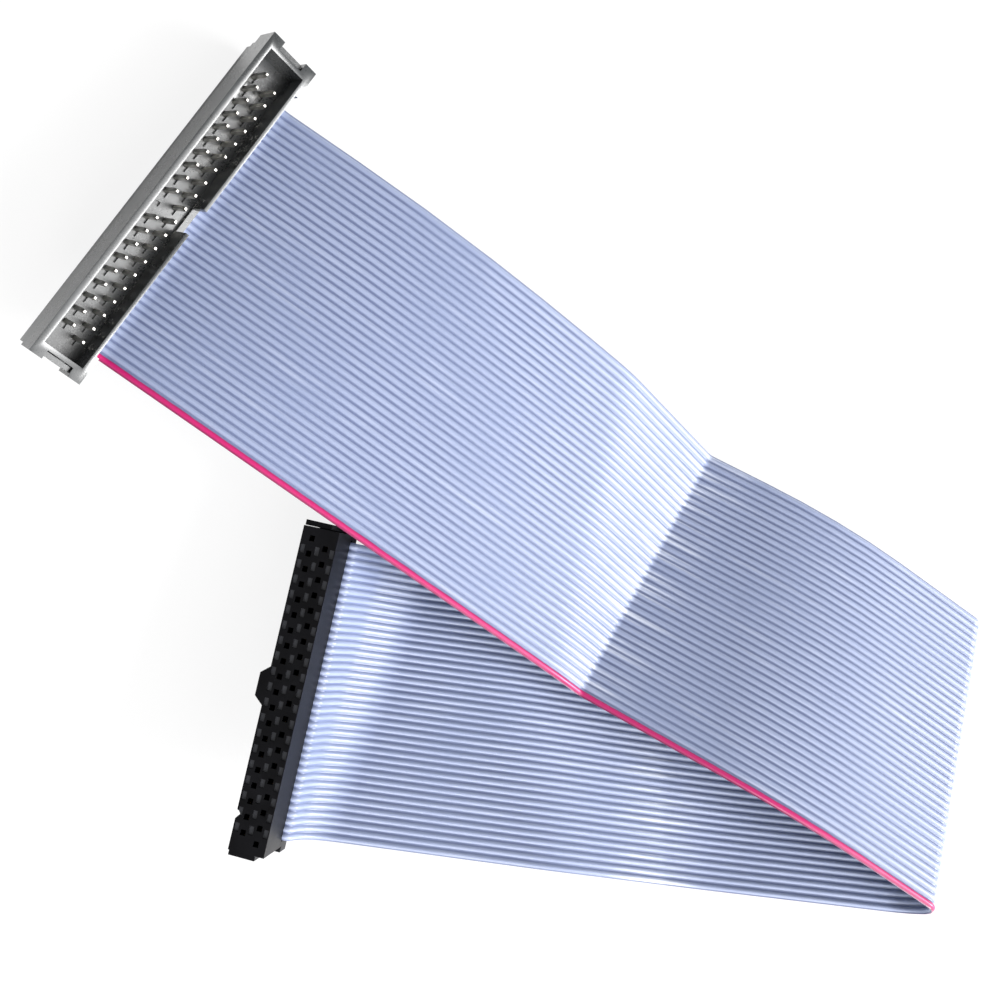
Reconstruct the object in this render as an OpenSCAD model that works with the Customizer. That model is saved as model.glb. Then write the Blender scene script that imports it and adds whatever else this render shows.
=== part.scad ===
// Flat grey ribbon cable, folded over on itself and laid down, with a shrouded male
// header at one end and a socket at the other. Each connector is drawn in its own
// frame: X is the way the ribbon leaves it, Y runs across the ribbon with conductor 1
// at the low end, Z is the mating direction, and z = 0 is the ribbon's middle plane.

/* [Ribbon] */
// Number of conductors side by side, always even
conductors = 40; // [38:2:42]
// Spacing of the conductors
pitch = 1.27; // [1.2:0.01:1.34]
// Thickness of the ribbon, halfway between its crowns and its webs
strip_t = 0.62; // [0.5:0.02:0.8]
// Length of ribbon that shows between the two connectors
free_length = 288; // [286:0.5:296]

/* [Both connectors] */
// Gap between the ribbon and the parts that hold it
seat_gap = 0.02; // [0.01:0.01:0.05]
// Width of the fork that grips a conductor
fork_w = 1.67; // [1.5:0.01:1.8]
// Width of one prong of the fork
prong_w = 0.4; // [0.25:0.05:0.5]
// Thickness of the fork's sheet
fork_t = 0.3; // [0.2:0.05:0.5]
// Height of the fork's top over the ribbon's middle plane
fork_top = 2.8; // [2.4:0.1:3.2]
// Free space around a fork in its pocket
fork_gap = 0.06; // [0.03:0.01:0.1]
// Gap between the ribbon's edge and the pads beside it
edge_gap = 0.3; // [0.2:0.05:0.6]
// Width of the pad beside the ribbon's edge
pad_w = 0.9; // [0.6:0.1:1.2]

/* [Male header] */
// Height of the shroud's rim over the ribbon's middle plane
rim_z = 10; // [9:0.1:11]
// Height of the shroud's floor over the ribbon's middle plane
floor_z = 4.1; // [3.6:0.1:4.6]
// Width of the cavity
cavity_w = 6.6; // [6:0.1:7]
// Thickness of the long walls
wall = 1.05; // [0.8:0.05:1.4]
// Room in the cavity past the last pin, at each end
cavity_end = 3.87; // [3:0.01:5]
// Thickness of the end walls
end_wall = 0.75; // [0.6:0.05:1]
// Width of the keyway in the wall on the cable's side
keyway_w = 4.5; // [3.5:0.1:6]
// Depth of the keyway below the rim
keyway_depth = 5; // [3:0.1:5.5]
// How far the cable's side wall steps in between its ends
wall_step = 0.5; // [0.2:0.05:0.6]
// Width of the clamp block under the shroud
male_block_w = 6.5; // [6:0.1:7]
// Thickness of the pressed cover
male_cover_t = 3.1; // [2.5:0.1:3.6]
// Length of the two end prongs past the end walls
prong_out = 1.5; // [1.2:0.05:2.4]
// Width of the slot between two end prongs
prong_slot = 4.4; // [4:0.1:5]
// Thickness of the cover's end arms
arm_t = 0.9; // [0.7:0.05:1.2]
// Height of the cover's end arms over the ribbon's middle plane
male_arm_z = 9.2; // [8:0.1:9.6]

/* [Pins] */
// Side of a square pin
pin_side = 0.64; // [0.5:0.01:0.7]
// Height of the pins' tips over the ribbon's middle plane
pin_tip_z = 9.4; // [8.5:0.1:9.8]
// Length of the taper at a pin's tip
pin_taper = 0.8; // [0.4:0.1:1.2]
// Side of the square hole that a pin stands in
pin_hole = 0.76; // [0.72:0.01:0.9]
// Depth of the dent in the floor beside each pin
dent_depth = 0.5; // [0.3:0.05:0.8]
// Number of the pin that is left out as a key
key_pin = 20; // [2:2:38]

/* [Female socket] */
// Height of the socket's face over the ribbon's middle plane
face_z = 8.4; // [7.8:0.1:9.2]
// Width of the socket
socket_w = 6.1; // [6:0.05:6.4]
// Room in the socket past the last contact, at each end
socket_end = 2.5; // [2:0.05:2.9]
// Side of a square entry hole
entry_side = 0.95; // [0.8:0.05:1.1]
// Thickness of the face over the contacts
face_t = 0.9; // [0.6:0.1:1.4]
// Width of a contact's chamber across the socket
chamber_w = 1.1; // [1:0.05:1.3]
// Height of the contacts' tips over the ribbon's middle plane
contact_tip_z = 7; // [6:0.1:7.4]
// Thickness of a contact's leaf
leaf_t = 0.25; // [0.2:0.05:0.35]
// Width of a contact's leaf
leaf_w = 0.8; // [0.6:0.05:0.9]
// Depth of the small pockets in the face
face_dent = 0.35; // [0.2:0.05:0.6]
// Width of the key bar at its root
key_root = 6.4; // [5:0.1:7]
// Width of the key bar at its crest
key_crest = 3.8; // [3:0.1:4.5]
// How far the key bar stands out
key_out = 1.5; // [1:0.1:2]
// Height of the key bar's foot over the ribbon's middle plane
key_foot_z = 2.4; // [1:0.1:5]
// Thickness of the pressed cover
female_cover_t = 2.9; // [2.5:0.1:3.4]
// Height of the cover's end arms over the ribbon's middle plane
female_arm_z = 7.8; // [6.6:0.1:8]
// Width of the socket cover's end arms, flush with the key side
female_arm_w = 4.5; // [3:0.1:4.5]

/* [Hidden] */
$fn = 24;
half_w = conductors * pitch / 2;        // from the ribbon's middle to its edge
row_x = pitch;                          // each row stands one pitch off the middle
pair_pitch = 2 * pitch;
seat = strip_t / 2 + seat_gap;            // inner faces of the parts that hold the ribbon
pad_from = half_w + edge_gap;
pad_to = pad_from + pad_w;
cavity_l = (conductors / 2 - 1) * pair_pitch + 2 * cavity_end;
shroud_w = cavity_w + 2 * wall;
shroud_l = cavity_l + 2 * end_wall;
male_l = shroud_l + 2 * prong_out;
socket_l = (conductors / 2 - 1) * pair_pitch + 2 * socket_end;
fork_slot_z = fork_top;                 // the fork's top bears on the pocket's roof
prong_z = seat;                         // the prongs stop at the ribbon
arm_gap = 0.1;
socket_inset = socket_w;                // length of ribbon inside the socket
male_inset = (shroud_w + male_block_w) / 2;

function way_y(k) = (k - (conductors + 1) / 2) * pitch;
function way_x(k) = k % 2 == 1 ? row_x : -row_x;

pin_numbers = [for (k = [1:conductors]) if (k != key_pin) k];
function pin_name(k) = str("male_pin_", k < 10 ? "0" : "", k);

// The bends along the ribbon, from the socket to the header. Each one is where it
// starts on the middle line, how far its crease is skewed, how far it turns (up is
// positive), how long its arc is and in how many flats it is drawn.
bends = [
    [0.1, 0, -72.3, 1.4, 5],        // pressed down beside the socket
    [4.9, 7.3, 31.4, 3.6, 3],       // levels out again, first half
    [11.1, 12.3, 34.2, 5, 3],       // levels out again, second half
    [33.3, -24.5, -14, 8.9, 2],     // soft sag
    [65.8, -4.5, 5.5, 1, 1],        // old crease
    [78.8, 21.5, 10.7, 9.8, 2],     // starts to rise
    [111.9, 10.7, 37.9, 5.3, 4],    // end loop, lower quarter
    [117.9, 10.7, 64.6, 2.6, 6],    // end loop, tip
    [122.1, 13.8, 58.3, 2.2, 5],    // end loop, upper quarter
    [140.6, 17, 22.2, 26.8, 4],     // upper run comes down on the loop
    [187, 0.4, -46, 1.5, 4],        // sharp old crease
    [199.3, 22.5, 15.7, 6.2, 2],    // flat band after the crease
    [209.7, 26.8, 7.9, 19.2, 2],    // long soft rise
    [247.4, -7.4, 11.8, 26.8, 4],   // long soft rise to the header
    [283.9, 0.4, -36.4, 3.6, 4]     // pressed down beside the header
];
last_bend = len(bends) - 1;

// How the whole part lies: turned until it rests, then set down on z = 0
lay_turn = [-10.94, -18.88, 0];
lay_shift = [-32.27, -37.20, 14.95];

// ---- where a point of the flat ribbon comes to lie ----
function bend_r(b) = b[3] / (abs(b[2]) * PI / 180);
// frame of one bend: a along the travel, e along the crease, c above the ribbon
function past(flat, b) = (flat[0] - b[0]) * cos(b[1]) - flat[1] * sin(b[1]);
function bent(p, flat, b) =
    let (a = (p[0] - b[0]) * cos(b[1]) - p[1] * sin(b[1]),
         e = (p[0] - b[0]) * sin(b[1]) + p[1] * cos(b[1]),
         c = p[2],
         part = min(1, max(0, past(flat, b) / b[3])),
         turn = b[2] * part,
         rest = a - b[3] * part,
         a2 = rest * cos(turn) - c * sin(turn) + bend_r(b) * sin(abs(turn)),
         c2 = rest * sin(turn) + c * cos(turn)
            + sign(b[2]) * bend_r(b) * (1 - cos(turn)))
    [b[0] + a2 * cos(b[1]) + e * sin(b[1]), e * cos(b[1]) - a2 * sin(b[1]), c2];
function laid(p, flat, n = last_bend) =
    n < 0 ? p : laid(bent(p, flat, bends[n]), flat, n - 1);

// A child drawn past the last bend of the flat ribbon, carried along by the bends
module past_bend(b) {
    translate([b[0], 0, 0]) rotate([0, 0, -b[1]])
        translate([bend_r(b) * sin(abs(b[2])), 0,
                   sign(b[2]) * bend_r(b) * (1 - cos(b[2]))])
            rotate([0, -b[2], 0]) translate([-b[3], 0, 0])
                rotate([0, 0, b[1]]) translate([-b[0], 0, 0]) children();
}
module past_bends(n = last_bend) {
    if (n < 0) children();
    else past_bends(n - 1) past_bend(bends[n]) children();
}

module lie_down() { translate(lay_shift) rotate(lay_turn) children(); }
module at_socket() { lie_down() translate([-socket_w / 2, 0, 0]) children(); }
module at_header() {
    lie_down() past_bends() translate([free_length + shroud_w / 2, 0, 0])
        rotate([0, 180, 0]) children();
}

module box(size, at) { translate([at[0] - size[0] / 2, at[1] - size[1] / 2, at[2]]) cube(size); }
module both_ends() {
    children();
    mirror([0, 1, 0]) children();
}

// ---- ribbon ----
// Cross-section: a plain strip with both edges rounded off in facets
edge_r = strip_t / 2;
section = concat(
    [for (a = [90:-30:-90]) [half_w - edge_r + edge_r * cos(a), edge_r * sin(a)]],
    [for (a = [270:-30:90]) [-half_w + edge_r + edge_r * cos(a), edge_r * sin(a)]]);
// Stations where the ribbon is cut across, each [place on the middle line, skew]. A bend
// drawn with no flats of its own has one station, in the middle of its arc.
function share(i, flats) = flats == 0 ? 0.5 : i / flats;
stations = concat(
    [[-socket_inset, 0]],
    [for (b = bends, i = [0:b[4]]) [b[0] + b[3] * share(i, b[4]) / cos(b[1]), b[1]]],
    [[free_length + male_inset, 0]]);

module ribbon() {
    n = len(section);
    m = len(stations);
    points = [for (st = stations, q = section)
        let (flat = [st[0] + q[0] * tan(st[1]), q[0]])
        laid([flat[0], flat[1], q[1]], flat)];
    caps = [[for (i = [n - 1:-1:0]) i], [for (i = [0:n - 1]) (m - 1) * n + i]];
    sides = [for (j = [0:m - 2], i = [0:n - 1])
        let (k = (i + 1) % n)
        [j * n + i, j * n + k, (j + 1) * n + k, (j + 1) * n + i]];
    color("lightsteelblue") lie_down() polyhedron(points, concat(caps, sides), convexity = 12);
}

// ---- forks, shared by pins and contacts ----
module fork() {
    box([fork_t, fork_w, 0.7], [0, 0, fork_top - 0.7]);
    for (s = [-1, 1])
        box([fork_t, prong_w, fork_top - 0.6 - prong_z],
            [0, s * (fork_w - prong_w) / 2, prong_z]);
}
module fork_pocket() {
    box([fork_t + 2 * fork_gap, fork_w + 2 * fork_gap, fork_slot_z], [0, 0, 0]);
}

// ---- male header ----
module pin_shape() {
    tip = pin_side / 2;
    intersection_for (turn = [0, 90]) rotate([0, 0, turn])
        rotate([90, 0, 0]) linear_extrude(height = pin_side, center = true)
            polygon([[-tip, fork_top], [tip, fork_top], [tip, pin_tip_z - pin_taper],
                     [tip / 2, pin_tip_z], [-tip / 2, pin_tip_z],
                     [-tip, pin_tip_z - pin_taper]]);
}
module male_pin(k) {
    color("lightgray") at_header() translate([way_x(k), way_y(k), 0]) {
        fork();
        pin_shape();
    }
}

module end_prong() {
    // two prongs past an end wall, with the slot for the cover's arm between them
    for (s = [-1, 1])
        translate([s * (prong_slot / 2 + (shroud_w - prong_slot) / 4), 0, 0])
            box([(shroud_w - prong_slot) / 2, prong_out + 0.01, rim_z - floor_z],
                [0, shroud_l / 2 + prong_out / 2 - 0.005, floor_z]);
}
module male_housing() {
    color("dimgray") at_header() difference() {
        union() {
            box([shroud_w, shroud_l, rim_z - floor_z + 1], [0, 0, floor_z - 1]);
            box([male_block_w, 2 * pad_to, floor_z - seat], [0, 0, seat]);
            both_ends() end_prong();
        }
        box([cavity_w, cavity_l, rim_z], [0, 0, floor_z]);
        // keyway in the wall on the cable's side
        translate([cavity_w / 2, 0, 0])
            box([4 * wall, keyway_w, keyway_depth + 1], [0, 0, rim_z - keyway_depth]);
        // the cable's side wall is stepped in between its ends
        box([2 * wall_step, 2 * half_w, rim_z], [shroud_w / 2, 0, floor_z + 0.6]);
        for (k = pin_numbers) translate([way_x(k), way_y(k), 0]) {
            box([pin_hole, pin_hole, floor_z + 1], [0, 0, 0]);
            fork_pocket();
            box([0.8, 0.9, dent_depth + 1], [0, -0.75, floor_z - dent_depth]);
        }
        // the key position keeps its hole
        translate([way_x(key_pin), way_y(key_pin), 0])
            box([pin_hole, pin_hole, 2 * dent_depth], [0, 0, floor_z - dent_depth]);
    }
}
module male_cover() {
    arm_y = shroud_l / 2 + arm_gap;
    color("dimgray") at_header() {
        box([male_block_w, 2 * (arm_y + arm_t), male_cover_t], [0, 0, -seat - male_cover_t]);
        both_ends() {
            box([male_block_w, pad_w, 2 * seat], [0, pad_from + pad_w / 2, -seat]);
            box([prong_slot - 2 * arm_gap, arm_t, male_arm_z + seat],
                [0, arm_y + arm_t / 2, -seat]);
        }
    }
}

// ---- female socket ----
module contact() {
    fork();
    for (s = [-1, 1])
        box([leaf_w, leaf_t, contact_tip_z - fork_top + 0.7],
            [0, s * (fork_w - leaf_t) / 2, fork_top - 0.7]);
}
module contact_row(first) {
    color("goldenrod") at_socket() for (k = [first:2:conductors])
        translate([way_x(k), way_y(k), 0]) contact();
}
module female_contacts_a() { contact_row(1); }
module female_contacts_b() { contact_row(2); }

module female_housing() {
    color("darkslategray") at_socket() difference() {
        union() {
            box([socket_w, socket_l, face_z - seat], [0, 0, seat]);
            translate([-socket_w / 2, 0, key_foot_z])
                linear_extrude(height = face_z - key_foot_z)
                    polygon([[0.01, -key_root / 2], [0.01, key_root / 2],
                             [-key_out, key_crest / 2], [-key_out, -key_crest / 2]]);
        }
        for (k = [1:conductors]) translate([way_x(k), way_y(k), 0]) {
            box([entry_side, entry_side, face_z + 1], [0, 0, 1]);
            box([chamber_w, fork_w + 2 * fork_gap, face_z - face_t], [0, 0, 0]);
        }
        // small pockets in the face, between the pairs of entry holes
        for (x = [-2, 0, 2], i = [1:conductors / 2 - 1])
            box([0.8, 1.4, 1], [x * pitch * 0.98, way_y(2 * i) + pitch / 2, face_z - face_dent]);
        // notch that marks conductor 1
        translate([-socket_w / 2, 5.8 - socket_l / 2, face_z - 3])
            linear_extrude(height = 4)
                polygon([[-0.1, -0.9], [-0.1, 0.9], [0.55, 0]]);
    }
}
module female_cover() {
    color("darkslategray") at_socket() {
        arm_y = socket_l / 2 + arm_gap;
        box([socket_w, 2 * (arm_y + arm_t), female_cover_t], [0, 0, -seat - female_cover_t]);
        both_ends() {
            box([socket_w, pad_w, 2 * seat], [0, pad_from + pad_w / 2, -seat]);
            box([female_arm_w, arm_t, female_arm_z + seat],
                [-(socket_w - female_arm_w) / 2, arm_y + arm_t / 2, -seat]);
        }
    }
}

ribbon();
male_housing();
male_cover();
female_housing();
female_cover();
female_contacts_a();
female_contacts_b();
for (k = pin_numbers)
    male_pin(k);
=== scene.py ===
import bpy
import bmesh
import math
from mathutils import Euler, Matrix, Vector


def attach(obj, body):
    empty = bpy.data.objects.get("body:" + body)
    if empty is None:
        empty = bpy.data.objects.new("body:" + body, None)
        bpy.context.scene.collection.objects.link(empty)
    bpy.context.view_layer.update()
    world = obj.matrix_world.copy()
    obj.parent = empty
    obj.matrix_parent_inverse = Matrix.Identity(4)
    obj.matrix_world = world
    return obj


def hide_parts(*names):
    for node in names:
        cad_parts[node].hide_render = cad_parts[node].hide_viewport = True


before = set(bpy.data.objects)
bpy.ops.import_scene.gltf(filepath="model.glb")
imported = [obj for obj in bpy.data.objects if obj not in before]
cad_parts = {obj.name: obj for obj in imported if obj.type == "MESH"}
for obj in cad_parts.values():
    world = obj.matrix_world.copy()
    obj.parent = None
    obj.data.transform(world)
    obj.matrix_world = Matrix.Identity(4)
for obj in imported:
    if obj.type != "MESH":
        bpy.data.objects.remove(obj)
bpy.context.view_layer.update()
mm = 0.001


# Camera, at the photograph's angle

cameraValues = {
    "place": (-42.59, 25.15, 198.50),      # mm
    "turn": (-9.646, -9.02, 11.227),       # degrees
    "lens": 40.50,
    "nearest": 10,                         # mm
}


def addCamera(v):
    data = bpy.data.cameras.new("camera")
    data.lens = v["lens"]
    data.clip_start = v["nearest"] * mm
    cam = bpy.data.objects.new("camera", data)
    cam.location = [c * mm for c in v["place"]]
    cam.rotation_euler = Euler([math.radians(a) for a in v["turn"]])
    bpy.context.scene.collection.objects.link(cam)
    bpy.context.scene.camera = cam
    print("camera set")


addCamera(cameraValues)


# Route of the ribbon, repeated from the part: where each bend starts on the middle
# line, its skew, its turn and the length of its arc, in mm and degrees

routeValues = {
    "bends": [
        (0.1, 0, -72.3, 1.4),        # pressed down beside the socket
        (4.9, 7.3, 31.4, 3.6),       # levels out again
        (11.1, 12.3, 34.2, 5),
        (33.3, -24.5, -14, 8.9),     # soft sag
        (65.8, -4.5, 5.5, 1),        # old crease
        (78.8, 21.5, 10.7, 9.8),     # starts to rise
        (111.9, 10.7, 37.9, 5.3),    # end loop
        (117.9, 10.7, 64.6, 2.6),
        (122.1, 13.8, 58.3, 2.2),
        (140.6, 17, 22.2, 26.8),     # upper run comes down on the loop
        (187, 0.4, -46, 1.5),        # sharp old crease
        (199.3, 22.5, 15.7, 6.2),    # flat band after the crease
        (209.7, 26.8, 7.9, 19.2),    # long soft rise
        (247.4, -7.4, 11.8, 26.8),
        (283.9, 0.4, -36.4, 3.6),    # pressed down beside the header
    ],
    "freeLength": 288,
    "socketInset": 6.1,
    "headerInset": 7.6,
    "layTurn": (-10.94, -18.88, 0),
    "layShift": (-32.27, -37.20, 14.95),
}

ribbonEnds = (-routeValues["socketInset"], routeValues["freeLength"] + routeValues["headerInset"])
layMatrix = (Matrix.Translation(Vector(routeValues["layShift"]))
             @ Euler([math.radians(a) for a in routeValues["layTurn"]]).to_matrix().to_4x4())


def bentPoint(point, flatPlace, bend):
    # rolls a point that lies past the bend's crease round the bend
    start, skew, turn, arc = bend
    skewCos, skewSin = math.cos(math.radians(skew)), math.sin(math.radians(skew))
    past = (flatPlace[0] - start) * skewCos - flatPlace[1] * skewSin
    if past <= 0:
        return point
    along = (point[0] - start) * skewCos - point[1] * skewSin
    beside = (point[0] - start) * skewSin + point[1] * skewCos
    above = point[2]
    share = min(1, past / arc)
    angle = math.radians(turn) * share
    radius = arc / abs(math.radians(turn))
    rest = along - arc * share
    newAlong = rest * math.cos(angle) - above * math.sin(angle) + radius * math.sin(abs(angle))
    newAbove = (rest * math.sin(angle) + above * math.cos(angle)
                + math.copysign(radius, turn) * (1 - math.cos(angle)))
    return (start + newAlong * skewCos + beside * skewSin,
            beside * skewCos - newAlong * skewSin, newAbove)


def ribbonPoint(along, across, height=0):
    # a point of the flat ribbon, in mm, to its place in the frame, in metres
    point = (along, across, height)
    for bend in reversed(routeValues["bends"]):
        point = bentPoint(point, (along, across), bend)
    return (layMatrix @ Vector(point)) * mm


# Shader helpers

class Val:
    # a socket that can be written in sums
    def __init__(self, tree, socket):
        self.tree, self.socket = tree, socket

    def math(self, operation, other=None, swap=False, clamp=False):
        n = self.tree.nodes.new("ShaderNodeMath")
        n.operation = operation
        n.use_clamp = clamp
        pair = [self, other]
        if swap:
            pair.reverse()
        for i, item in enumerate(pair):
            if isinstance(item, Val):
                self.tree.links.new(item.socket, n.inputs[i])
            elif item is not None:
                n.inputs[i].default_value = item
        return Val(self.tree, n.outputs[0])

    def __add__(self, other):
        return self.math("ADD", other)

    def __radd__(self, other):
        return self.math("ADD", other, swap=True)

    def __sub__(self, other):
        return self.math("SUBTRACT", other)

    def __rsub__(self, other):
        return self.math("SUBTRACT", other, swap=True)

    def __mul__(self, other):
        return self.math("MULTIPLY", other)

    def __rmul__(self, other):
        return self.math("MULTIPLY", other, swap=True)

    def __truediv__(self, other):
        return self.math("DIVIDE", other)

    def __rtruediv__(self, other):
        return self.math("DIVIDE", other, swap=True)

    def __abs__(self):
        return self.math("ABSOLUTE")

    def clamp(self):
        return self.math("ADD", 0.0, clamp=True)


class Finish:
    # one material and the method that adds any node to it
    def __init__(self, name, **fixed):
        self.mat = bpy.data.materials.new(name)
        self.mat.use_nodes = True
        self.tree = self.mat.node_tree
        self.shader = self.tree.nodes["Principled BSDF"]
        for key, value in fixed.items():
            self.shader.inputs[key.replace("_", " ")].default_value = value

    def node(self, kind, settings=None, out=0, **values):
        # _2 is the socket of that number, and From_Min the socket of that name
        n = self.tree.nodes.new(kind)
        for key, value in (settings or {}).items():
            setattr(n, key, value)
        for key, value in values.items():
            socket = n.inputs[int(key[1:]) if key[1:].isdigit() else key.replace("_", " ")]
            if isinstance(value, Val):
                self.tree.links.new(value.socket, socket)
            else:
                socket.default_value = value
        return Val(self.tree, n.outputs[out])

    def point(self, x, y, z):
        return self.node("ShaderNodeCombineXYZ", X=x, Y=y, Z=z)

    def parts(self, vector):
        split = self.node("ShaderNodeSeparateXYZ", Vector=vector).socket.node
        return [Val(self.tree, socket) for socket in split.outputs]

    def noise(self, vector, scale=1.0, detail=3.0, rough=0.5):
        return self.node("ShaderNodeTexNoise", Vector=vector, Scale=scale, Detail=detail,
                         Roughness=rough)

    def band(self, value, low, high):
        # 0 below low, 1 above high
        return self.node("ShaderNodeMapRange", Value=value, From_Min=low, From_Max=high)

    def mix(self, factor, a, b):
        return self.node("ShaderNodeMix", {"data_type": "RGBA"}, out=2, _0=factor, _6=a, _7=b)

    def feed(self, **inputs):
        for key, value in inputs.items():
            self.tree.links.new(value.socket, self.shader.inputs[key.replace("_", " ")])

    def bump(self, height, distance, strength):
        self.feed(Normal=self.node("ShaderNodeBump", Height=height, Distance=distance,
                                   Strength=strength))


def rgb(r, g, b):
    # a colour as seen on screen, 0 to 255, to the shader's linear values
    def one(c):
        c /= 255
        return c / 12.92 if c <= 0.04045 else ((c + 0.055) / 1.055) ** 2.4
    return (one(r), one(g), one(b), 1)


# Finish of the ribbon. Its patterns lie on the flat strip, in mm, so they follow the bends.
# A band is the two values of a noise between which its share of colour comes in.

ribbonLook = {
    "gloss": 0.75,
    "crown": rgb(146, 156, 184),
    # painted shade: the valleys between the conductors are darker than the crowns
    "valleyShade": rgb(92, 102, 136),
    "crownHeights": (0.11, 0.27),     # over the middle plane, from painted valley shade to crown colour
    "cloud": rgb(126, 138, 170),
    "cloudScale": 0.05,
    "cloudBand": (0.42, 0.72),
    "cloudShare": 0.45,
    # painted highlight: white glints streaked along the crowns
    "glintWhite": rgb(230, 234, 242),
    "glintBand": (0.56, 0.80),
    "glintShare": 0.18,
    "streakPull": (0.06, 0.9),        # noise steps to a mm along and across the ribbon
    "streakDetail": 4.0,
    "streakRough": 0.6,
    # places, reach, band and share of the painted highlight beside the old creases
    "creasePlaces": (66, 187),        # along the ribbon
    "creaseReach": 9.0,               # to each side
    "creaseGlintBand": (0.46, 0.66),
    "creaseGlintShare": 0.6,
    "ink": rgb(184, 10, 98),
    # painted shade: darker ink low on the conductor's sides
    "inkShade": rgb(128, 6, 74),
    "inkShadeHeights": (0.12, 0.40),       # over the middle plane, from painted shade to full ink
    "inkWidth": 1.12,                 # from the edge
    "inkBlur": 0.12,
    "inkFace": (-0.02, 0.10),         # height at which the ink ends on the edge
    "inkWobble": 0.25,
    "wobblePull": 0.25,
    "halfWidth": 25.4,                # of the ribbon
    "rough": 0.30,
    "cloudRough": 0.16,
    "rubbedRough": 0.12,
    "rubbedBand": (0.5, 0.8),
    "skinScale": 6.0,
    "skinLift": 0.4,
    "streakLift": 0.6,
    "bumpHeight": 0.00003,            # m
    "bumpStrength": 0.5,
}


def ribbonFinish(v):
    f = Finish("ribbonPvc", Specular_IOR_Level=v["gloss"])
    flatPlace = f.node("ShaderNodeAttribute", {"attribute_name": "flatPlace"}, out=1)
    along, across, height = f.parts(flatPlace)
    crownShare = f.band(abs(height), *v["crownHeights"])
    pullAlong, pullAcross = v["streakPull"]
    streaks = f.noise(f.point(along * pullAlong, across * pullAcross, height),
                      detail=v["streakDetail"], rough=v["streakRough"])
    clouds = f.noise(f.point(along, across, 0.0), v["cloudScale"])
    # painted shade: the ribbon is darker low in the valleys between its conductors
    body = f.mix(crownShare, v["valleyShade"], v["crown"])
    body = f.mix(f.band(clouds, *v["cloudBand"]) * v["cloudShare"], body, v["cloud"])
    # painted highlight: white glints streaked along the crowns of the conductors
    crownGlints = f.band(streaks, *v["glintBand"]) * crownShare * v["glintShare"]
    body = f.mix(crownGlints, body, v["glintWhite"])
    # painted highlight: white streaks on the crowns beside the old creases
    for crease in v["creasePlaces"]:
        near = (1 - abs(along - crease) / v["creaseReach"]).clamp()
        # painted highlight beside each old crease
        paleMarks = near * f.band(streaks, *v["creaseGlintBand"]) * crownShare * v["creaseGlintShare"]
        body = f.mix(paleMarks, body, v["glintWhite"])
    # ink on one face of the first conductor, worn a little along its edge; low on the conductor's
    # sides the ink is darker, as painted shade
    wobble = (f.noise(f.point(along * v["wobblePull"], 0.0, 0.0)) - 0.5) * v["inkWobble"]
    fromEdge = across + v["halfWidth"] + wobble
    onWidth = 1 - f.band(fromEdge, v["inkWidth"] - v["inkBlur"], v["inkWidth"])
    onFace = 1 - f.band(height, *v["inkFace"])
    # painted shade: the ink darkens low on the conductor's sides
    inkTone = f.mix(f.band(abs(height), *v["inkShadeHeights"]), v["inkShade"], v["ink"])
    body = f.mix(onWidth * onFace, body, inkTone)
    rough = (v["rough"] + clouds * v["cloudRough"]
             + f.band(streaks, *v["rubbedBand"]) * v["rubbedRough"])
    f.feed(Base_Color=body, Roughness=rough)
    skin = f.noise(f.point(along, across, height), v["skinScale"])
    f.bump(streaks * v["streakLift"] + skin * v["skinLift"], v["bumpHeight"],
           v["bumpStrength"])
    return f.mat


# Finishes of the mouldings: fine grain, faint flow clouds and paler rubbed patches. Noise
# scales are steps to a metre.

plasticGrain = {
    "flowScale": 160.0,
    "flowBand": (0.35, 0.75),
    "flowShare": 0.5,
    "flowRough": 0.14,
    "fineScale": 2600.0,
    "fineDetail": 2.0,
    "fineRough": 0.06,
    "fineLift": 0.7,
    "rubbedScale": 700.0,
    "rubbedDetail": 5.0,
    "rubbedNoiseRough": 0.65,
    "rubbedBand": (0.62, 0.72),
    "rubbedShare": 0.35,
    "rubbedLift": 0.3,
    "bumpStrength": 0.6,
}
headerLook = {"base": rgb(42, 44, 45), "worn": rgb(60, 63, 65), "rough": 0.18,
              "bumpHeight": 0.00001, "gloss": 0.9}
socketLook = {"base": rgb(7, 7, 9), "worn": rgb(22, 22, 26), "rough": 0.34,
              "bumpHeight": 0.00002, "gloss": 0.12}
# painted light: a lighter, glossier copy of the socket plastic for the floors of the socket's
# dents
dentLitLook = {"base": rgb(52, 53, 58), "worn": rgb(74, 76, 82), "rough": 0.30,
            "bumpHeight": 0.00001, "gloss": 0.5}


def plasticFinish(name, look, grain):
    f = Finish(name, Specular_IOR_Level=look["gloss"])
    place = f.node("ShaderNodeTexCoord", out=3)
    flow = f.noise(place, grain["flowScale"])
    fine = f.noise(place, grain["fineScale"], grain["fineDetail"])
    paleMarks = f.noise(place, grain["rubbedScale"], grain["rubbedDetail"], grain["rubbedNoiseRough"])
    flowShare = f.band(flow, *grain["flowBand"]) * grain["flowShare"]
    rubbedShare = f.band(paleMarks, *grain["rubbedBand"]) * grain["rubbedShare"]
    body = f.mix(rubbedShare, f.mix(flowShare, look["base"], look["worn"]), look["worn"])
    f.feed(Base_Color=body,
           Roughness=look["rough"] + flow * grain["flowRough"] + fine * grain["fineRough"])
    f.bump(fine * grain["fineLift"] + paleMarks * grain["rubbedLift"], look["bumpHeight"],
           grain["bumpStrength"])
    return f.mat


# Finishes of the plated metal, with faint drawing marks and a dull bloom

metalGrain = {
    "bloomScale": 900.0,
    "bloomDetail": 4.0,
    "bloomBand": (0.4, 0.75),
    "bloomShare": 0.6,
    "bloomRough": 0.12,
    "drawnScale": (5000, 5000, 300),
    "drawnRough": 0.05,
    "bumpHeight": 0.00001,
    "bumpStrength": 0.3,
}
pinLook = {"base": rgb(214, 212, 205), "dull": rgb(168, 164, 156), "rough": 0.22}
contactLook = {"base": rgb(206, 170, 100), "dull": rgb(150, 118, 70), "rough": 0.28}
copperLook = {"base": rgb(216, 138, 96), "dull": rgb(150, 92, 66), "rough": 0.30}


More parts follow.
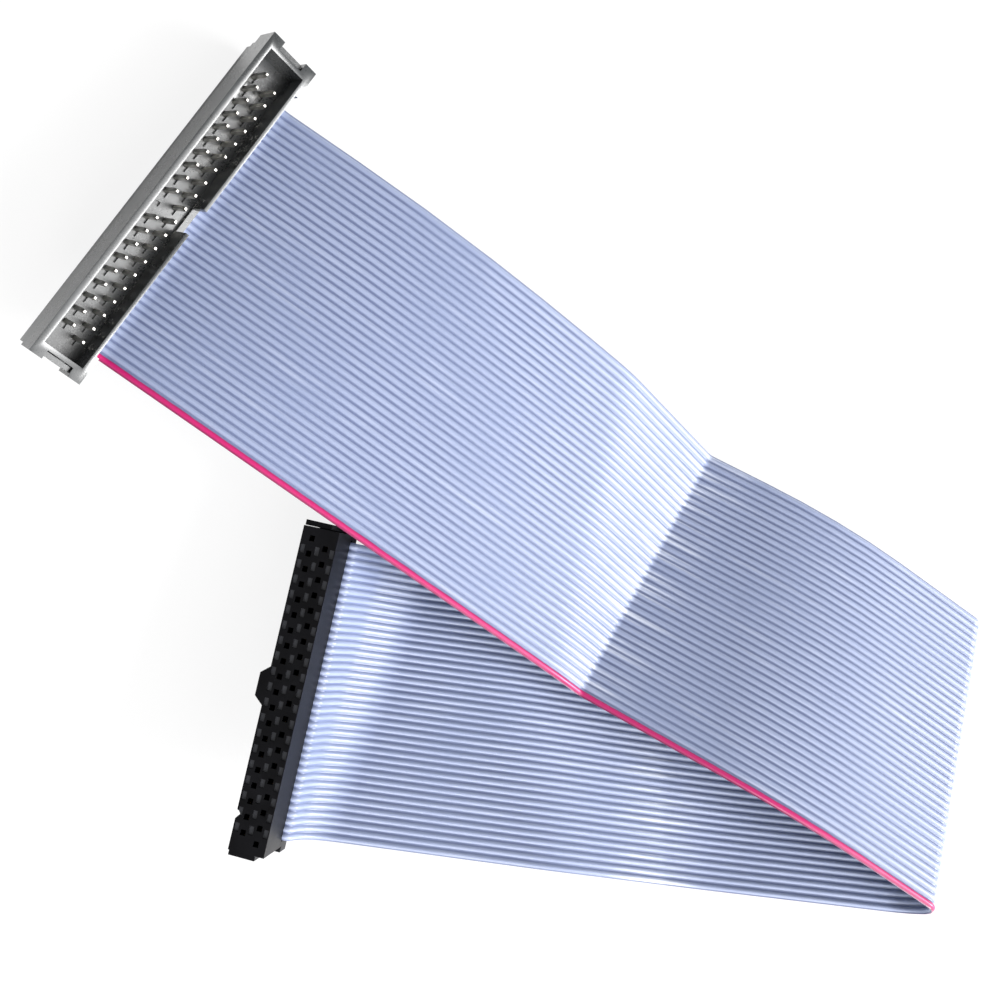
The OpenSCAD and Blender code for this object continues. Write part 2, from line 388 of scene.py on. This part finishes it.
def metalFinish(name, look, grain):
    f = Finish(name, Metallic=1.0)
    place = f.node("ShaderNodeTexCoord", out=3)
    bloom = f.noise(place, grain["bloomScale"], grain["bloomDetail"])
    marks = f.noise(f.node("ShaderNodeMapping", Vector=place, Scale=grain["drawnScale"]))
    dullShare = f.band(bloom, *grain["bloomBand"]) * grain["bloomShare"]
    f.feed(Base_Color=f.mix(dullShare, look["base"], look["dull"]),
           Roughness=look["rough"] + bloom * grain["bloomRough"] + marks * grain["drawnRough"])
    f.bump(marks, grain["bumpHeight"], grain["bumpStrength"])
    return f.mat


ribbonPvc = ribbonFinish(ribbonLook)
headerPlastic = plasticFinish("headerPlastic", headerLook, plasticGrain)
socketPlastic = plasticFinish("socketPlastic", socketLook, plasticGrain)
dentLitPlastic = plasticFinish("dentLitPlastic", dentLitLook, plasticGrain)
pinMetal = metalFinish("tinnedPins", pinLook, metalGrain)
contactMetal = metalFinish("contactMetal", contactLook, metalGrain)
copperMetal = metalFinish("copperStrands", copperLook, metalGrain)
print("finishes made")


def meshObject(name, verts, faces, mat):
    mesh = bpy.data.meshes.new(name)
    mesh.from_pydata([tuple(v) for v in verts], [], faces)
    mesh.materials.append(mat)
    obj = bpy.data.objects.new(name, mesh)
    bpy.context.scene.collection.objects.link(obj)
    return obj


# Ribbon: one strip with a round ridge over each conductor, 0.9 mm thick at its crown

ribbonValues = {
    "conductors": 40,
    "pitch": 1.27,
    "web": 0.24,
    # upper outline of one ridge: across from its valley, and height over the middle plane
    "ridgeSteps": [(0, 0.12), (0.165, 0.135), (0.27, 0.27), (0.45, 0.41), (0.635, 0.45),
                   (0.82, 0.41), (1.0, 0.27), (1.105, 0.135)],
    "bendStep": 7.0,          # degrees between rings in a bend
    "sharpAngle": 60,         # degrees, edges sharper than this aren't smoothed
}


def ringStations(v):
    # places where the strip is ringed, each with the skew of its crease
    stations = [(ribbonEnds[0], 0.0)]
    for start, skew, turn, arc in routeValues["bends"]:
        steps = max(2, math.ceil(abs(turn) / v["bendStep"]))
        for i in range(steps + 1):
            stations.append((start + arc * i / steps / math.cos(math.radians(skew)), skew))
    stations.append((ribbonEnds[1], 0.0))
    return stations


def ribbonOutline(v):
    half = v["conductors"] * v["pitch"] / 2
    top = []
    for k in range(v["conductors"]):
        top += [(k * v["pitch"] - half + across, height) for across, height in v["ridgeSteps"]]
    top.append((half, v["web"] / 2))
    return top + [(across, -height) for across, height in reversed(top)]


def makeRibbon(v):
    outline, stations = ribbonOutline(v), ringStations(v)
    verts, flat = [], []
    for along, skew in stations:
        lean = math.tan(math.radians(skew))
        for across, height in outline:
            flat.append((along + across * lean, across, height))
            verts.append(ribbonPoint(*flat[-1]))
    around, rings = len(outline), len(stations)

    def corner(ring, i):
        return ring * around + i % around

    faces = [(corner(ring, i), corner(ring, i + 1), corner(ring + 1, i + 1), corner(ring + 1, i))
             for ring in range(rings - 1) for i in range(around)]
    # the cut ends are closed by strips between the upper and the lower outline
    for ring, flip in ((0, False), (rings - 1, True)):
        for i in range(around // 2 - 1):
            under = around - 1 - i
            quad = (corner(ring, i), corner(ring, under), corner(ring, under - 1),
                    corner(ring, i + 1))
            faces.append(quad[::-1] if flip else quad)
    obj = meshObject("ribbonStrip", verts, faces, ribbonPvc)
    place = obj.data.attributes.new("flatPlace", "FLOAT_VECTOR", "POINT")
    place.data.foreach_set("vector", [c for point in flat for c in point])
    bm = bmesh.new()
    bm.from_mesh(obj.data)
    bmesh.ops.recalc_face_normals(bm, faces=bm.faces)
    bm.to_mesh(obj.data)
    bm.free()
    obj.data.polygons.foreach_set("use_smooth", [True] * len(obj.data.polygons))
    obj.data.set_sharp_from_angle(angle=math.radians(v["sharpAngle"]))
    print("ribbon:", len(faces), "faces in", rings, "rings")
    return obj


ribbonStrip = makeRibbon(ribbonValues)
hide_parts("ribbon")
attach(ribbonStrip, "root")


def middleLine(step):
    first, last = ribbonEnds
    count = round((last - first) / step)
    return [tuple(ribbonPoint(first + (last - first) * i / count, 0)) for i in range(count + 1)]


tuple(ribbonPoint(0, 0))
middleLine(2.5)


# Mouldings: the CAD shapes with their edges broken, as a mould leaves them

mouldingValues = {
    "edge": 0.07,          # mm
    "edgeSteps": 2,
    "edgeAngle": 40,       # degrees, corners sharper than this are broken
    "weld": 0.001,         # mm
    "flatAngle": 1,        # degrees, faces that turn less than this are joined
    "dentFloor": 8.05,     # mm, floor of the shallow dents in the socket's face
    "dentReach": 0.02,     # mm
    "pieces": {
        "headerHousing": ("male_housing", headerPlastic, "header_plastic"),
        "headerCover": ("male_cover", headerPlastic, "header_plastic"),
        "socketHousing": ("female_housing", socketPlastic, "socket_plastic"),
        "socketCover": ("female_cover", socketPlastic, "socket_plastic"),
    },
}


def cadNode(name):
    return bpy.data.objects[name]


# gives the dent floors the lighter copy of the socket plastic, as painted light
def paintDentLight(mesh, v):
    mesh.materials.append(dentLitPlastic)
    toSocket = layMatrix.inverted()
    for face in mesh.polygons:
        height = (toSocket @ (face.center / mm)).z
        face.material_index = int(abs(height - v["dentFloor"]) < v["dentReach"])


def makeMoulding(name, node, mat, v):
    mesh = cadNode(node).data.copy()
    mesh.materials.clear()
    mesh.materials.append(mat)
    # the socket's dent floors get the painted-light copy of its plastic
    if node == "female_housing":
        paintDentLight(mesh, v)
    bm = bmesh.new()
    bm.from_mesh(mesh)
    bmesh.ops.remove_doubles(bm, verts=bm.verts, dist=v["weld"] * mm)
    bmesh.ops.dissolve_limit(bm, angle_limit=math.radians(v["flatAngle"]), verts=bm.verts,
                             edges=bm.edges)
    bm.to_mesh(mesh)
    bm.free()
    obj = bpy.data.objects.new(name, mesh)
    bpy.context.scene.collection.objects.link(obj)
    bevel = obj.modifiers.new("brokenEdges", "BEVEL")
    bevel.width = v["edge"] * mm
    bevel.segments = v["edgeSteps"]
    bevel.limit_method = "ANGLE"
    bevel.angle_limit = math.radians(v["edgeAngle"])
    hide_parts(node)
    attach(obj, "root")


for pieceName, (nodeName, mat, slotName) in mouldingValues["pieces"].items():
    makeMoulding(pieceName, nodeName, mat, mouldingValues)
print("mouldings made")


# Pins and contacts keep their CAD shape

def dressNode(name, mat):
    data = cadNode(name).data
    data.materials.clear()
    data.materials.append(mat)


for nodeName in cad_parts:
    if nodeName.startswith("male_pin"):
        dressNode(nodeName, pinMetal)
    elif nodeName.startswith("female_contacts"):
        dressNode(nodeName, contactMetal)
print("pins and contacts dressed")


# Cut ends of the copper strands, seven in each conductor, at both ends of the ribbon

strandValues = {
    "strandRadius": 0.062,     # mm
    "stand": 0.02,             # mm, length of the short rod that each end is
    "sides": 10,
    "outerStrands": 6,
    "outerRadius": 0.125,      # mm, from the middle strand to the others
}


def strandSizes(v):
    return {"Strand radius": v["strandRadius"] * mm, "Stand": v["stand"] * mm}


def strandTree(v):
    tree = bpy.data.node_groups.new("cutStrands", "GeometryNodeTree")
    face = tree.interface
    face.new_socket("Geometry", in_out="INPUT", socket_type="NodeSocketGeometry")
    for label, value in strandSizes(v).items():
        item = face.new_socket(label, in_out="INPUT", socket_type="NodeSocketFloat")
        item.default_value = value
    face.new_socket("Geometry", in_out="OUTPUT", socket_type="NodeSocketGeometry")
    new, link = tree.nodes.new, tree.links.new
    start, end = new("NodeGroupInput"), new("NodeGroupOutput")
    rod = new("GeometryNodeMeshCylinder")
    rod.inputs["Vertices"].default_value = v["sides"]
    link(start.outputs["Strand radius"], rod.inputs["Radius"])
    link(start.outputs["Stand"], rod.inputs["Depth"])
    normal = new("GeometryNodeInputNormal")
    align = new("FunctionNodeAlignRotationToVector")
    align.axis = "Z"
    link(normal.outputs[0], align.inputs["Vector"])
    spread = new("GeometryNodeInstanceOnPoints")
    link(start.outputs["Geometry"], spread.inputs["Points"])
    link(rod.outputs["Mesh"], spread.inputs["Instance"])
    link(align.outputs["Rotation"], spread.inputs["Rotation"])
    real = new("GeometryNodeRealizeInstances")
    link(spread.outputs[0], real.inputs[0])
    coat = new("GeometryNodeSetMaterial")
    coat.inputs["Material"].default_value = copperMetal
    link(real.outputs[0], coat.inputs["Geometry"])
    link(coat.outputs[0], end.inputs[0])
    return tree


def strandPlaces(v):
    # a small fan of faces for each conductor: its points are the strands, and take their
    # direction from the end's normal
    count = v["outerStrands"]
    spots = [(0, 0)]
    for i in range(count):
        angle = math.radians(i * 360 / count)
        spots.append((v["outerRadius"] * math.cos(angle), v["outerRadius"] * math.sin(angle)))
    verts, faces = [], []
    for end in ribbonEnds:
        for k in range(ribbonValues["conductors"]):
            across = (k + 0.5 - ribbonValues["conductors"] / 2) * ribbonValues["pitch"]
            middle = len(verts)
            verts += [ribbonPoint(end, across + y, height) for y, height in spots]
            rim = [middle + 1 + i for i in range(count)]
            rim = rim if end == ribbonEnds[1] else rim[::-1]
            faces += [(middle, rim[i], rim[(i + 1) % count]) for i in range(count)]
    return verts, faces


def makeStrandEnds(v):
    verts, faces = strandPlaces(v)
    obj = meshObject("strandEnds", verts, faces, copperMetal)
    mod = obj.modifiers.new("cutStrands", "NODES")
    mod.node_group = strandTree(v)
    sizes = strandSizes(v)
    for item in mod.node_group.interface.items_tree:
        if item.name in sizes:
            mod[item.identifier] = sizes[item.name]
    depsgraph = bpy.context.evaluated_depsgraph_get()
    finished = bpy.data.meshes.new_from_object(obj.evaluated_get(depsgraph))
    obj.modifiers.remove(mod)
    obj.data = finished
    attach(obj, "root")
    print("strand ends:", len(finished.polygons), "faces")


makeStrandEnds(strandValues)


# Floor, lamps and world. A lamp looks at the middle of the frame, from a compass angle
# and a height angle in degrees.

stageValues = {
    "floorSize": 3.0,
    "floorDrop": 0.0002,       # m, so that the floor doesn't flicker through the part's foot
    "floorColour": (0.9, 0.9, 0.9, 1),
    "floorRough": 0.9,
    "floorGlow": 0.85,         # share of the floor's white that needs no lamp
    "white": (1, 1, 1, 1),
    "worldStrength": 0.48,
    "lamps": [
        {"compass": 325, "lift": 46, "far": 1.0, "size": 1.0, "watts": 10.5},
        {"compass": 264, "lift": 39, "far": 0.9, "size": 0.22, "watts": 2.6},
        {"compass": 352, "lift": 36, "far": 0.9, "size": 0.4, "watts": 12.0},    # header's sheen
    ],
}


def floorFinish(v):
    f = Finish("paleFloor", Base_Color=v["floorColour"], Roughness=v["floorRough"])
    lit = Val(f.tree, f.shader.outputs[0])
    glow = f.node("ShaderNodeEmission", Color=v["white"], Strength=1.0)
    seen = f.node("ShaderNodeLightPath")
    both = f.node("ShaderNodeMixShader", _0=seen * v["floorGlow"], _1=lit, _2=glow)
    f.tree.links.new(both.socket, f.tree.nodes["Material Output"].inputs[0])
    return f.mat


def makeFloor(v):
    half, low = v["floorSize"] / 2, -v["floorDrop"]
    corners = [(-half, -half, low), (half, -half, low), (half, half, low), (-half, half, low)]
    meshObject("floor", corners, [(0, 1, 2, 3)], floorFinish(v))


def makeWorld(v):
    world = bpy.data.worlds.new("studio")
    world.use_nodes = True
    sky = world.node_tree.nodes["Background"]
    sky.inputs[0].default_value = v["white"]
    sky.inputs[1].default_value = v["worldStrength"]
    bpy.context.scene.world = world


def addLamp(name, v):
    turn, rise = math.radians(v["compass"]), math.radians(v["lift"])
    out = v["far"] * math.cos(rise)
    place = Vector((out * math.cos(turn), out * math.sin(turn), v["far"] * math.sin(rise)))
    data = bpy.data.lights.new(name, "AREA")
    data.size, data.energy = v["size"], v["watts"]
    lamp = bpy.data.objects.new(name, data)
    lamp.location = place
    lamp.rotation_euler = (-place).to_track_quat("-Z", "Y").to_euler()
    bpy.context.scene.collection.objects.link(lamp)


def makeStage(v):
    makeFloor(v)
    makeWorld(v)
    for i, lampValues in enumerate(v["lamps"]):
        addLamp("lamp%d" % i, lampValues)
    bpy.context.scene.view_settings.view_transform = "Standard"
    print("stage set")


makeStage(stageValues)
